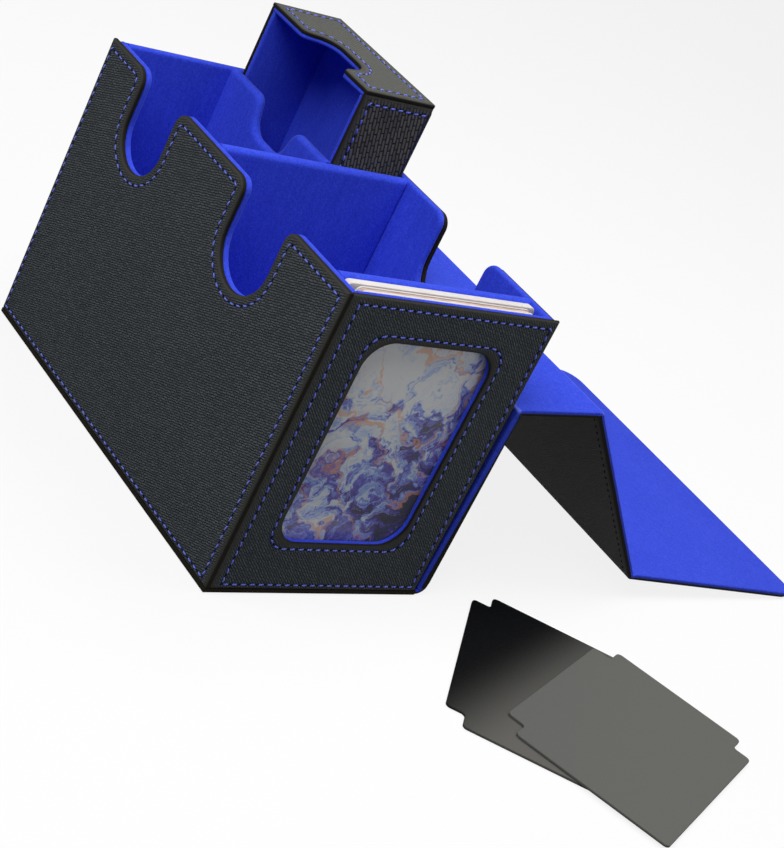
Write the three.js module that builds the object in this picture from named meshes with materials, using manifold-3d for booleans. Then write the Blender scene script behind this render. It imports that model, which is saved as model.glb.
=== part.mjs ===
// Card storage box with a folding wrap cover, a raised tray, a display window and two loose dividers.
// Millimetres, +Z up. The origin is the centre of the underside, the window faces -Y,
// and the cover is joined along the lower +X edge. The pose is the opened one: the cover is folded
// out to the right, the tray is pulled up and the dividers lie on the table.
import * as THREE from 'three';
import { mergeVertices } from 'three/addons/utils/BufferGeometryUtils.js';
import Module from 'manifold-3d';

const wasm = await Module();
wasm.setup();

// Box
const boxWidth = 88;
const boxLength = 162;
const boxHeight = 111.5;
const wallPanel = 1.8;
const wallLining = 2.6;
const frontPanel = 1.2;
const frontLining = 1.8;
const basePanel = 1.8;
const floorLining = 2;
const innerWall = 4;
const pocketWall = 4.2;
const leatherFace = 0.5;
const sleeveCloth = 1;
const hem = 1.5;
const coveredDrop = 0.8;
const slideGap = 0.4;
const seatGap = 0.3;
const overrun = 2;

// Places of the inner walls, from the box's front and from its left side
const frontRoomLength = 72.4;
const rearRoomWidth = 43.8;

// Window and display pocket
const windowSideBorder = 17.75;
const windowTopBorder = 14.9;
const windowSill = 20.3;
const windowRadius = 10;
const filmThickness = 0.5;
const filmBorder = 4;
const displaySideRoom = 3.1;
const displayThickness = 3.2;
const displaySpacing = 0.6;
const backerThickness = 2.8;
const displayDrop = 0.6;
const backerDrop = 0.3;

// Finger notches: half widths at the bottom and at the mouth, depth, radii, place along Y
const sideNotch = { at: -30.2, depth: 30.8, foot: 13.9, mouth: 13.9, footRadius: 13.8, lip: 4.8 };
const rearNotch = { at: 42.7, depth: 30.5, foot: 12.6, mouth: 12.6, footRadius: 12.5, lip: 5.5 };
const bayNotch = { at: 43.7, depth: 12.4, foot: 9, mouth: 12.6, footRadius: 7, lip: 4.5 };
const trayNotch = { at: 40.3, depth: 12, foot: 11, mouth: 13.6, footRadius: 9, lip: 3 };

// Tray
const trayPanel = 1.4;
const trayLining = 1.6;
const trayTopDrop = 1.1;
const trayLift = 28.6;

// Cover: four boards in one wrap
const coverLeather = 0.6;
const coverBoard = 1.2;
const coverCloth = 0.6;
const coverInset = 0.4;
const coverFoldGap = 1.2;
const coverTopGap = 0.7;
const layerGap = 0.1;
const coverLowerShare = 0.6658;
const flapEndHeight = 9.1;
const flapRadius = 9;
const foldRoom = 0.4;
const coverLowerAngle = 88.3;
const coverUpperAngle = 3.2;
const coverTopAngle = -47.6;

// Closing magnets
const magnetRadius = 5;
const magnetGap = 0.3;
const magnetEdge = 12;
const magnetSide = 28;

// Loose dividers
const dividerWidth = 65.9;
const dividerHeight = 88.5;
const dividerThickness = 1;
const dividerNotchWidth = 7;
const dividerNotchHeight = 7.6;
const dividerRadius = 1.8;
const dividerNotchRadius = 1.5;
const rearDividerAngle = -43.8;
const frontDividerAngle = -64.7;
const rearDividerOut = { x: 36.4, y: 1.9 };
const frontDividerOut = { x: 73.4, y: 33.5 };

// Arc fineness
const arcSteps = 7;
const foldSides = 16;
const magnetSides = 24;

// Derived sizes
const side = boxWidth / 2;
const end = boxLength / 2;
const innerSide = side - wallPanel - wallLining;
const windowSide = side - windowSideBorder;
const windowTop = boxHeight - windowTopBorder;
const coveredTop = boxHeight - coveredDrop;
const coveredNotch = { ...sideNotch, depth: sideNotch.depth - coveredDrop };
const displaySide = innerSide - displaySideRoom;
const liningSide = side - wallPanel;
const liningFront = -end + frontPanel;
const pocketFront = liningFront + frontLining;
const pocketDepth = filmThickness + seatGap + displayThickness + displaySpacing + backerThickness + slideGap;
const pocketBack = pocketFront + pocketDepth;
const roomFront = pocketBack + pocketWall;
const crossFront = roomFront + frontRoomLength;
const crossBack = crossFront + innerWall;
const liningBack = end - wallPanel;
const innerBack = liningBack - wallLining;
const floorTop = basePanel + floorLining;
const bayWallLeft = -innerSide + rearRoomWidth;
const bayLeft = bayWallLeft + innerWall;
const coverHalf = (coverLeather + coverBoard + coverCloth) / 2;
const coverSide = end - coverInset;
const foldAt = side + coverFoldGap + coverHalf;
const coverRise = boxHeight + coverTopGap;
const coverLowerLength = coverRise * coverLowerShare;
const coverUpperLength = coverRise - coverLowerLength;
const coverTopLength = 2 * foldAt;
const flapLength = coverHalf + coverRise - flapEndHeight;
const magnetReach = flapLength - magnetEdge;
const magnetHeight = flapEndHeight + magnetEdge;
const degree = Math.PI / 180;

// Materials: colours as the eye sees them
const paint = (color, roughness, metalness = 0, opacity = 1) => new THREE.MeshStandardMaterial({
  color, roughness, metalness, opacity, transparent: opacity < 1,
});
const blackLeather = () => paint(0x2b3031, 0.55);
const blueVelvet = () => paint(0x3a4fd0, 0.95);
const greyBoard = () => paint(0x8d8a82, 0.9);
const clearFilm = () => paint(0xe8eef4, 0.1, 0, 0.3);
const nickel = () => paint(0xb9bbbd, 0.3, 1);
const smokedPlastic = () => paint(0x5c5d5a, 0.35);
const printedCard = () => paint(0x8f8fb4, 0.3);
const whiteCard = () => paint(0xe9e4de, 0.7);

// Turns an outline of corners [x, y, radius] into points, with each rounded corner as an arc.
// A fillet takes at most half of the shorter side that it lies on.
function roundedOutline(corners) {
  const points = [];
  corners.forEach(([x, y, radius = 0], i) => {
    const corner = new THREE.Vector2(x, y);
    if (!radius) {
      points.push(corner);
      return;
    }
    const before = new THREE.Vector2(...corners.at(i - 1)).sub(corner);
    const after = new THREE.Vector2(...corners[(i + 1) % corners.length]).sub(corner);
    const reach = Math.min(before.length(), after.length()) / 2;
    before.normalize();
    after.normalize();
    const halfAngle = Math.acos(before.dot(after)) / 2;
    const tangent = Math.min(radius / Math.tan(halfAngle), reach);
    const arcRadius = tangent * Math.tan(halfAngle);
    const toCentre = before.clone().add(after).setLength(arcRadius / Math.sin(halfAngle));
    const centre = corner.clone().add(toCentre);
    const start = corner.clone().addScaledVector(before, tangent).sub(centre).angle();
    const finish = corner.clone().addScaledVector(after, tangent).sub(centre).angle();
    const sweep = Math.atan2(Math.sin(finish - start), Math.cos(finish - start));
    const steps = Math.max(2, Math.ceil(arcSteps * Math.abs(sweep) / (Math.PI / 2)));
    for (let k = 0; k <= steps; k++) {
      const angle = start + sweep * k / steps;
      points.push(new THREE.Vector2(Math.cos(angle), Math.sin(angle)).multiplyScalar(arcRadius).add(centre));
    }
  });
  return points;
}

// Moves every side of a counter-clockwise outline inwards, with its fillets following.
// A side whose entry in sides is false stays where it is; side i runs from corner i to the next.
function inset(corners, distance, sides = []) {
  const directions = corners.map(([x, y], i) => {
    const [nextX, nextY] = corners[(i + 1) % corners.length];
    return new THREE.Vector2(nextX - x, nextY - y).normalize();
  });
  return corners.map(([x, y, radius = 0], i) => {
    const last = (i + corners.length - 1) % corners.length;
    const before = directions[last];
    const after = directions[i];
    const moveBefore = sides[last] === false ? 0 : distance;
    const moveAfter = sides[i] === false ? 0 : distance;
    const turn = before.x * after.y - before.y * after.x;
    const along = (moveAfter - moveBefore * before.dot(after)) / turn;
    const newRadius = turn > 0 ? Math.max(radius - distance, 0) : radius + distance;
    return [
      x - before.y * moveBefore - before.x * along,
      y + before.x * moveBefore - before.y * along,
      radius ? newRadius : 0,
    ];
  });
}

const rectangle = (x0, y0, x1, y1, radius = 0) => [
  [x0, y0, radius], [x1, y0, radius], [x1, y1, radius], [x0, y1, radius],
];

// The four corners of a finger notch in a top edge, from its higher to its lower place along the edge
const notchCorners = ({ at, depth, foot, mouth, footRadius, lip }, top) => [
  [at + mouth, top, lip],
  [at + foot, top - depth, footRadius],
  [at - foot, top - depth, footRadius],
  [at - mouth, top, lip],
];

// A standing wall's outline between two ends, with finger notches in its top edge
const wallOutline = (start, finish, bottom, top, notches = []) => [
  [start, bottom], [finish, bottom], [finish, top],
  ...notches.flatMap((notch) => notchCorners(notch, top)),
  [start, top],
];

// Closed geometry to a solid and back
function toSolid(geometry) {
  geometry.deleteAttribute('normal');
  geometry.deleteAttribute('uv');
  const merged = mergeVertices(geometry, 1e-5);
  return new wasm.Manifold(new wasm.Mesh({
    numProp: 3,
    vertProperties: new Float32Array(merged.attributes.position.array),
    triVerts: new Uint32Array(merged.index.array),
  }));
}

function toGeometry(solid) {
  const { vertProperties, triVerts } = solid.getMesh();
  const geometry = new THREE.BufferGeometry();
  geometry.setAttribute('position', new THREE.BufferAttribute(vertProperties, 3));
  geometry.setIndex(new THREE.BufferAttribute(triVerts, 1));
  return geometry;
}

// An outline made thick along an axis. Walls across X have outlines in (Y, Z), walls across Y
// in (X, Z) and flat plates in (X, Y).
const place = {
  x: (u, v, w) => [w, u, v],
  y: (u, v, w) => [u, w, v],
  z: (u, v, w) => [u, v, w],
};

function slab(axis, corners, from, to, holes = []) {
  const shape = new THREE.Shape(roundedOutline(corners));
  shape.holes = holes.map((hole) => new THREE.Path(roundedOutline(hole)));
  const geometry = new THREE.ExtrudeGeometry(shape, { depth: 1, bevelEnabled: false });
  const position = geometry.attributes.position;
  for (let i = 0; i < position.count; i++) {
    const through = position.getZ(i) > 0.5 ? to : from;
    position.setXYZ(i, ...place[axis](position.getX(i), position.getY(i), through));
  }
  if (axis === 'y') {
    for (let i = 0; i < position.count; i += 3) {
      const first = new THREE.Vector3().fromBufferAttribute(position, i);
      const second = new THREE.Vector3().fromBufferAttribute(position, i + 1);
      position.setXYZ(i, second.x, second.y, second.z);
      position.setXYZ(i + 1, first.x, first.y, first.z);
    }
  }
  return toSolid(geometry);
}

function addMesh(group, name, solid, material) {
  const mesh = new THREE.Mesh(toGeometry(solid), material);
  mesh.name = name;
  group.add(mesh);
}

// A wall of the box: a leather pan whose face is outside, a board in the pan, and a velvet lining.
// outer is the leather's face, rim the pan's open side, inner the lining's face.
function wallPieces(group, name, axis, faces, outlines, windows = {}, magnetPlaces = []) {
  const { outer, rim, inner } = faces;
  const inwards = Math.sign(inner - outer);
  const boardOutline = inset(outlines.panel, hem);
  const boardHoles = (windows.panel ?? []).map((hole) => inset(hole, -hem));
  const boardFace = outer + inwards * leatherFace;
  const span = (a, b) => [Math.min(a, b), Math.max(a, b)];
  const pan = slab(axis, outlines.panel, ...span(outer, rim), windows.panel);
  const recess = slab(axis, boardOutline, ...span(boardFace, rim + inwards * overrun), boardHoles);
  addMesh(group, `${name}_panel`, pan.subtract(recess), blackLeather());
  let board = slab(axis, boardOutline, ...span(boardFace, rim), boardHoles);
  magnetPlaces.forEach(({ suffix, at }) => {
    const [low, high] = span(boardFace, rim);
    board = board.subtract(disc(axis, at, magnetRadius + magnetGap, low - overrun, high + overrun));
    addMesh(group, `${name}_magnet_${suffix}`, disc(axis, at, magnetRadius, low, high), nickel());
  });
  addMesh(group, `${name}_board`, board, greyBoard());
  const lining = slab(axis, outlines.lining, ...span(rim, inner), windows.lining);
  addMesh(group, `${name}_lining`, lining, blueVelvet());
}

// A round plate across an axis
function disc(axis, [u, v], radius, from, to) {
  const corners = Array.from({ length: magnetSides }, (_, k) => {
    const angle = 2 * Math.PI * k / magnetSides;
    return [u + radius * Math.cos(angle), v + radius * Math.sin(angle)];
  });
  return slab(axis, corners, from, to);
}

// An inner wall: a velvet sleeve that is open at its foot, pulled over a board
function sleevedWall(group, name, axis, corners, from, to) {
  const footStays = [false];
  const boardOutline = inset(corners, sleeveCloth, footStays);
  const inside = [from + sleeveCloth, to - sleeveCloth];
  const slot = boardOutline.map(([u, v, radius], i) => [u, i < 2 ? v - overrun : v, radius]);
  addMesh(group, name, slab(axis, corners, from, to).subtract(slab(axis, slot, ...inside)), blueVelvet());
  addMesh(group, `${name}_board`, slab(axis, boardOutline, ...inside), greyBoard());
}

// The box's own pieces
function buildBox() {
  const box = new THREE.Group();
  const windowCorners = (grow) => rectangle(
    -windowSide - grow, windowSill - grow, windowSide + grow, windowTop + grow, windowRadius,
  );
  const opening = [windowCorners(0)];
  const magnets = [
    { suffix: 'front', at: [-end + magnetSide, magnetHeight] },
    { suffix: 'rear', at: [end - magnetSide, magnetHeight] },
  ];
  wallPieces(box, 'left', 'x', { outer: -side, rim: -liningSide, inner: -innerSide }, {
    panel: wallOutline(-end, end, basePanel, boxHeight, [rearNotch, sideNotch]),
    lining: wallOutline(liningFront, liningBack, basePanel, boxHeight, [rearNotch, sideNotch]),
  }, {}, magnets);
  wallPieces(box, 'right', 'x', { outer: side, rim: liningSide, inner: innerSide }, {
    panel: wallOutline(liningFront, end, basePanel, coveredTop, [coveredNotch]),
    lining: wallOutline(liningFront, liningBack, basePanel, boxHeight, [sideNotch]),
  });
  wallPieces(box, 'front', 'y', { outer: -end, rim: liningFront, inner: pocketFront }, {
    panel: rectangle(-liningSide, basePanel, side, boxHeight),
    lining: rectangle(-innerSide, basePanel, innerSide, boxHeight),
  }, { panel: opening, lining: opening });
  wallPieces(box, 'rear', 'y', { outer: end, rim: liningBack, inner: innerBack }, {
    panel: rectangle(-liningSide, basePanel, liningSide, coveredTop),
    lining: rectangle(-innerSide, basePanel, innerSide, boxHeight),
  });
  wallPieces(box, 'base', 'z', { outer: 0, rim: basePanel, inner: floorTop }, {
    panel: rectangle(-side, -end, side + coverFoldGap - magnetGap, end),
    lining: rectangle(-innerSide, pocketFront, innerSide, innerBack),
  });
  const film = slab('y', windowCorners(filmBorder), pocketFront, pocketFront + filmThickness);
  addMesh(box, 'window_film', film, clearFilm());
  const acrossBox = wallOutline(-innerSide, innerSide, floorTop, boxHeight);
  sleevedWall(box, 'pocket_wall', 'y', acrossBox, pocketBack, roomFront);
  sleevedWall(box, 'cross_wall', 'y', acrossBox, crossFront, crossBack);
  const alongBay = wallOutline(crossBack, innerBack, floorTop, boxHeight, [bayNotch]);
  sleevedWall(box, 'bay_divider', 'x', alongBay, bayWallLeft, bayLeft);
  addMesh(box, 'base_fold', fold().translate([foldAt, 0, coverHalf]), blackLeather());
  return box;
}

// A round bead of folded leather along Y, between two boards of the wrap
function fold() {
  const bead = new THREE.CylinderGeometry(coverHalf, coverHalf, 2 * coverSide, foldSides);
  return toSolid(bead);
}

// The tray: an upright box that is open towards -X, drawn where it sits when it is pushed down
function buildTray() {
  const tray = new THREE.Group();
  const left = bayLeft + slideGap;
  const right = innerSide - slideGap;
  const front = crossBack + slideGap;
  const back = innerBack - slideGap;
  const bottom = floorTop + seatGap;
  const top = boxHeight - trayTopDrop;
  const liningRight = right - trayPanel;
  const panelFront = front + trayPanel;
  const panelBack = back - trayPanel;
  const panelBottom = bottom + trayPanel;
  const panelTop = top - trayPanel;
  const roomBottom = panelBottom + trayLining;
  const roomTop = panelTop - trayLining;
  const roomLeft = panelFront + trayLining;
  const roomRight = panelBack - trayLining;
  // The lid's outline in (X, Y), with the thumb notch cut into its -X edge
  const { at, depth, foot, mouth, footRadius, lip } = trayNotch;
  const notched = (start, finish, far) => [
    [left, start], [far, start], [far, finish], [left, finish],
    [left, at + mouth, lip], [left + depth, at + foot, footRadius],
    [left + depth, at - foot, footRadius], [left, at - mouth, lip],
  ];
  const plates = [
    ['tray_top', 'z', notched(front, back, right), panelTop, top, blackLeather],
    ['tray_bottom', 'z', rectangle(left, front, right, back), bottom, panelBottom, blackLeather],
    ['tray_front', 'y', rectangle(left, panelBottom, right, panelTop), front, panelFront, blackLeather],
    ['tray_rear', 'y', rectangle(left, panelBottom, right, panelTop), panelBack, back, blackLeather],
    ['tray_back', 'x', rectangle(panelFront, panelBottom, panelBack, panelTop), liningRight, right, blackLeather],
    ['tray_top_lining', 'z', notched(panelFront, panelBack, liningRight), roomTop, panelTop, blueVelvet],
    ['tray_bottom_lining', 'z', rectangle(left, panelFront, liningRight, panelBack),
      panelBottom, roomBottom, blueVelvet],
    ['tray_front_lining', 'y', rectangle(left, roomBottom, liningRight, roomTop), panelFront, roomLeft, blueVelvet],
    ['tray_rear_lining', 'y', rectangle(left, roomBottom, liningRight, roomTop), roomRight, panelBack, blueVelvet],
    ['tray_back_lining', 'x', rectangle(roomLeft, roomBottom, roomRight, roomTop),
      liningRight - trayLining, liningRight, blueVelvet],
  ];
  plates.forEach(([name, axis, corners, from, to, material]) => {
    addMesh(tray, name, slab(axis, corners, from, to), material());
  });
  tray.position.z = trayLift;
  return tray;
}

// What stands in the display pocket: a printed card in a stiff holder and a white backer behind it
function buildInsert() {
  const insert = new THREE.Group();
  const bottom = floorTop + seatGap;
  const cardFront = pocketFront + filmThickness + seatGap;
  const cardBack = cardFront + displayThickness;
  const backerFront = cardBack + displaySpacing;
  const backerSide = innerSide - slideGap;
  const card = rectangle(-displaySide, bottom, displaySide, boxHeight - displayDrop);
  const backer = rectangle(-backerSide, bottom, backerSide, boxHeight - backerDrop);
  addMesh(insert, 'display_card', slab('y', card, cardFront, cardBack), printedCard());
  addMesh(insert, 'card_backer', slab('y', backer, backerFront, backerFront + backerThickness), whiteCard());
  return insert;
}

// One board of the cover, drawn along +X from its fold, with the velvet side up
function coverPanel(name, length, isLast, magnetPlaces = []) {
  const panel = new THREE.Group();
  const start = coverHalf + foldRoom;
  const finish = isLast ? length : length - coverHalf - foldRoom;
  const radius = isLast ? flapRadius : 0;
  const outline = [
    [start, -coverSide], [finish, -coverSide, radius], [finish, coverSide, radius], [start, coverSide],
  ];
  const boardOutline = inset(outline, hem + layerGap);
  const recessLow = -coverHalf + coverLeather;
  const rim = recessLow + coverBoard;
  const boardLow = recessLow + layerGap;
  const boardHigh = rim - layerGap;
  const pan = slab('z', outline, -coverHalf, rim);
  const recess = slab('z', inset(outline, hem), recessLow, rim + overrun);
  addMesh(panel, `${name}_panel`, pan.subtract(recess), blackLeather());
  let board = slab('z', boardOutline, boardLow, boardHigh);
  magnetPlaces.forEach(({ suffix, at }) => {
    const hole = disc('z', at, magnetRadius + magnetGap, boardLow - overrun, boardHigh + overrun);
    board = board.subtract(hole);
    addMesh(panel, `${name}_magnet_${suffix}`, disc('z', at, magnetRadius, boardLow, boardHigh), nickel());
  });
  addMesh(panel, `${name}_board`, board, greyBoard());
  addMesh(panel, `${name}_lining`, slab('z', outline, rim + layerGap, coverHalf), blueVelvet());
  if (!isLast) addMesh(panel, `${name}_fold`, fold().translate([length, 0, 0]), blackLeather());
  return panel;
}

// The cover's four boards, each hung on the one before it and turned to its angle from the table
function buildCover() {
  const upperHeight = coverHalf + coverLowerLength * Math.sin(coverLowerAngle * degree)
    + coverUpperLength * Math.sin(coverUpperAngle * degree);
  const flapHeight = upperHeight + coverTopLength * Math.sin(coverTopAngle * degree);
  // The flap's lower edge at its free end meets the table
  const flapAngle = Math.atan2(coverHalf, flapLength) / degree
    - Math.asin(flapHeight / Math.hypot(flapLength, coverHalf)) / degree;
  const magnets = [
    { suffix: 'front', at: [magnetReach, -end + magnetSide] },
    { suffix: 'rear', at: [magnetReach, end - magnetSide] },
  ];
  const boards = [
    { name: 'cover_lower', length: coverLowerLength, angle: coverLowerAngle },
    { name: 'cover_upper', length: coverUpperLength, angle: coverUpperAngle },
    { name: 'cover_top', length: coverTopLength, angle: coverTopAngle },
    { name: 'cover_flap', length: flapLength, angle: flapAngle, isLast: true, magnets },
  ];
  const cover = new THREE.Group();
  cover.position.set(foldAt, 0, coverHalf);
  let parent = cover;
  let parentAngle = 0;
  let reach = 0;
  boards.forEach(({ name, length, angle, isLast = false, magnets: places }) => {
    const panel = coverPanel(name, length, isLast, places);
    panel.position.x = reach;
    panel.rotation.y = -(angle - parentAngle) * degree;
    parent.add(panel);
    parent = panel;
    parentAngle = angle;
    reach = length;
  });
  return cover;
}

// A loose divider: a plate with three notched corners and one plain one, lying flat
function divider(name, turn, out, height) {
  const w = dividerWidth;
  const h = dividerHeight;
  const nw = dividerNotchWidth;
  const nh = dividerNotchHeight;
  const outer = dividerRadius;
  const inner = dividerNotchRadius;
  const outline = [
    [nw, 0, outer], [w, 0, outer],
    [w, h - nh, outer], [w - nw, h - nh, inner], [w - nw, h, outer],
    [nw, h, outer], [nw, h - nh, inner], [0, h - nh, outer],
    [0, nh, outer], [nw, nh, inner],
  ];
  const group = new THREE.Group();
  addMesh(group, name, slab('z', outline, 0, dividerThickness), smokedPlastic());
  group.rotation.z = turn * degree;
  // The far upper corner of the plate is what keeps its place beside the box
  const corner = new THREE.Vector3(nw, h, 0).applyAxisAngle(new THREE.Vector3(0, 0, 1), turn * degree);
  group.position.set(side + out.x - corner.x, -end - out.y - corner.y, height);
  return group;
}

const cardStorageBox = new THREE.Group();
cardStorageBox.add(
  buildBox(),
  buildTray(),
  buildInsert(),
  buildCover(),
  divider('rear_divider', rearDividerAngle, rearDividerOut, 0),
  divider('front_divider', frontDividerAngle, frontDividerOut, dividerThickness),
);

export default cardStorageBox;
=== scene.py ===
"""Card storage box: the finished look of every piece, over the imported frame.

Sizes in this script are millimetres; one factor turns them to metres when a mesh is made.
X runs to the right of the window side, Y to the back and Z up.
"""
import math

import bpy
import numpy as np
from mathutils import Matrix


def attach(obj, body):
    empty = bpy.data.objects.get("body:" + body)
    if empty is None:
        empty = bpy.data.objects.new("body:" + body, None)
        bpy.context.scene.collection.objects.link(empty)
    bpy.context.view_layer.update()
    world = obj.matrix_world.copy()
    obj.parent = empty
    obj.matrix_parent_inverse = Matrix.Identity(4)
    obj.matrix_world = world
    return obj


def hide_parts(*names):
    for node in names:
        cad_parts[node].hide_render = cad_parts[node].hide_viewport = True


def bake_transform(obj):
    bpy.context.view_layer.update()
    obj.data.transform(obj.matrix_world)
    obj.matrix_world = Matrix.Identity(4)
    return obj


MM = 0.001
scene = bpy.context.scene

# Camera: its place in mm and its right, up and backward directions
camera_data = bpy.data.cameras.new("view_camera")
camera_data.sensor_fit = "VERTICAL"
camera_data.sensor_height = 36.0
camera_data.lens = 87.5
camera_data.clip_start = 0.01
camera = bpy.data.objects.new("view_camera", camera_data)
scene.collection.objects.link(camera)
camera_place = np.eye(4)
camera_place[:3, 0] = (0.7505113, -0.5094620, 0.4209291)
camera_place[:3, 1] = (-0.0632748, 0.5786206, 0.8131386)
camera_place[:3, 2] = (-0.6578215, -0.6369039, 0.4020252)
camera_place[:3, 3] = np.array((-425.7938, -490.0930, 326.2471)) * MM
camera.matrix_world = Matrix(camera_place.tolist())
scene.camera = camera
scene.view_settings.view_transform = "Standard"

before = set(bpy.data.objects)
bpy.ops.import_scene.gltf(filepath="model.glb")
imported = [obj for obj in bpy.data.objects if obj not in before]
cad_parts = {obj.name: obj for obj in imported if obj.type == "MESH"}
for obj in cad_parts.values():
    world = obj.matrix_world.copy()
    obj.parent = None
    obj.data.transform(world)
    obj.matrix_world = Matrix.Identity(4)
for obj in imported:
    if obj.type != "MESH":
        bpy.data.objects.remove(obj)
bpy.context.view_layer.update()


# Materials

def colour(code, alpha=1.0):
    """sRGB hex to linear RGBA: below 0.04045 a straight line, above it a power of 2.4."""
    value = np.array([int(code[i:i + 2], 16) / 255 for i in (0, 2, 4)])
    linear = np.where(value <= 0.04045, value / 12.92, ((value + 0.055) / 1.055) ** 2.4)
    return (*linear.tolist(), alpha)


def grey(value):
    """A linear RGBA grey."""
    return (value, value, value, 1.0)


def add(tree, kind, inputs=None, **settings):
    """Adds one node: its settings, then its inputs, each a value or another node's output. On a colour
    Mix, input 0 is the share, inputs 6 and 7 are the two colours and output 2 is the result."""
    new = tree.nodes.new("ShaderNode" + kind)
    for key, value in settings.items():
        setattr(new, key, value)
    for key, value in (inputs or {}).items():
        if isinstance(value, bpy.types.NodeSocket):
            tree.links.new(value, new.inputs[key])
        else:
            new.inputs[key].default_value = value
    return new


def new_material(name, slot, build):
    """A material whose shader is the node that build(tree) returns."""
    material = bpy.data.materials.new(name)
    material.use_nodes = True
    tree = material.node_tree
    tree.nodes.clear()
    shader = build(tree)
    add(tree, "OutputMaterial", {"Surface": shader.outputs[0]})
    material["slot"] = slot
    return material


def steps(tree, fac, *stops):
    """A colour ramp through (place, colour) stops."""
    ramp = add(tree, "ValToRGB", {"Fac": fac})
    elements = ramp.color_ramp.elements
    while len(elements) < len(stops):
        elements.new(0.5)
    for element, (place, shade) in zip(elements, stops):
        element.position = place
        element.color = shade
    return ramp.outputs["Color"]


# What is taken off a noise's colour, so that it shifts a pattern both ways
HALF = (0.5, 0.5, 0.5)


# Polyurethane leather on a cloth backing, pressed with a grain of short staggered ridges: satin on
# the ridges, dull between them, smooth and darker where it is turned over an edge, with a paler band
# where that edge rounds into the face that is partly rubbing and partly a painted highlight, and
# drawn in along the sewn channel, which is painted a dark navy as painted shade. The ridges are
# 2.2 mm long and 0.8 mm apart on the walls and the cover; the tray's ends have longer and wider ones.
def grained_leather(tree, relief=1.0, low=("2d3238", "34383a"), high=("5b6266", "676c70"),
                    ridge_size=(2.2, 0.8)):
    uv = add(tree, "TexCoord").outputs["UV"]
    place = add(tree, "TexCoord").outputs["Object"]
    wander = add(tree, "TexNoise", {"Vector": uv, "Scale": 0.5, "Detail": 3.0}).outputs["Color"]
    shifted = add(tree, "VectorMath", {0: wander, 1: HALF}, operation="SUBTRACT").outputs[0]
    bent = add(tree, "VectorMath", {0: shifted, 1: (1.1, 0.8, 0.0), 2: uv},
               operation="MULTIPLY_ADD").outputs[0]
    ridges = add(tree, "TexBrick", {
        "Vector": bent, "Color1": grey(1.0), "Color2": grey(0.5), "Mortar": grey(0.0), "Bias": -0.2,
        "Scale": 1.0, "Mortar Size": 0.375 * ridge_size[1], "Mortar Smooth": 1.0,
        "Brick Width": ridge_size[0], "Row Height": ridge_size[1],
    }, offset=0.42, squash=1.0)
    edge = add(tree, "Attribute", attribute_name="edge").outputs["Fac"]
    seam = add(tree, "Attribute", attribute_name="seam").outputs["Fac"]
    # how much of the grain is left: none on the turned edge, all of it 1.3 mm further in
    kept = add(tree, "MapRange", {"Value": edge, "From Min": 0.3, "From Max": 1.6,
                                  "To Max": relief}, clamp=True).outputs[0]
    grain = add(tree, "Math", {0: ridges.outputs["Color"], 1: kept}, operation="MULTIPLY").outputs[0]
    cloud = add(tree, "TexNoise", {"Vector": place, "Scale": 22.0, "Detail": 3.0}).outputs["Fac"]
    valley = add(tree, "Mix", {0: cloud, 6: colour(low[0]), 7: colour(low[1])},
                 data_type="RGBA").outputs[2]
    ridge = add(tree, "Mix", {0: cloud, 6: colour(high[0]), 7: colour(high[1])},
                data_type="RGBA").outputs[2]
    face = add(tree, "Mix", {0: grain, 6: valley, 7: ridge}, data_type="RGBA").outputs[2]
    # the turned edge is nearly black at the cut side, and paler where it rounds into the face: partly
    # rubbed, partly a painted highlight of the rounded edge
    edge_highlight_and_rub = steps(tree, add(tree, "MapRange", {"Value": edge, "From Max": 2.0}, clamp=True).outputs[0],
                (0.0, grey(0.0)), (0.25, grey(0.75)), (0.7, grey(0.5)), (1.0, grey(0.0)))
    turned = add(tree, "MapRange", {"Value": edge, "From Min": 0.02, "From Max": 0.3}, clamp=True).outputs[0]
    body = add(tree, "Mix", {0: turned, 6: colour("26231e"), 7: face}, data_type="RGBA").outputs[2]
    highlighted_and_rubbed = add(tree, "Mix", {0: edge_highlight_and_rub, 6: body, 7: colour("4c4c46")}, data_type="RGBA").outputs[2]
    # painted shade: the sewn channel is painted a dark navy where the thread draws the leather in
    channel_shaded = add(tree, "Mix", {0: seam, 6: highlighted_and_rubbed, 7: colour("1e2452")}, data_type="RGBA").outputs[2]
    pores = add(tree, "TexNoise", {"Vector": uv, "Scale": 3.4, "Detail": 3.0}).outputs["Fac"]
    slack = add(tree, "TexNoise", {"Vector": place, "Scale": 30.0, "Detail": 1.0}).outputs["Fac"]
    waves = add(tree, "Bump", {"Height": slack, "Strength": 0.3, "Distance": 0.0012}).outputs[0]
    fine = add(tree, "Bump", {"Height": pores, "Strength": 0.18, "Distance": 0.0002,
                              "Normal": waves}).outputs[0]
    bump = add(tree, "Bump", {"Height": grain, "Strength": 0.8, "Distance": 0.00026,
                              "Normal": fine}).outputs[0]
    gloss = add(tree, "MapRange", {"Value": grain, "To Min": 0.7, "To Max": 0.5}).outputs[0]
    return add(tree, "BsdfPrincipled", {
        "Base Color": channel_shaded, "Roughness": gloss, "Normal": bump, "Specular IOR Level": 0.03,
    })
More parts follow.
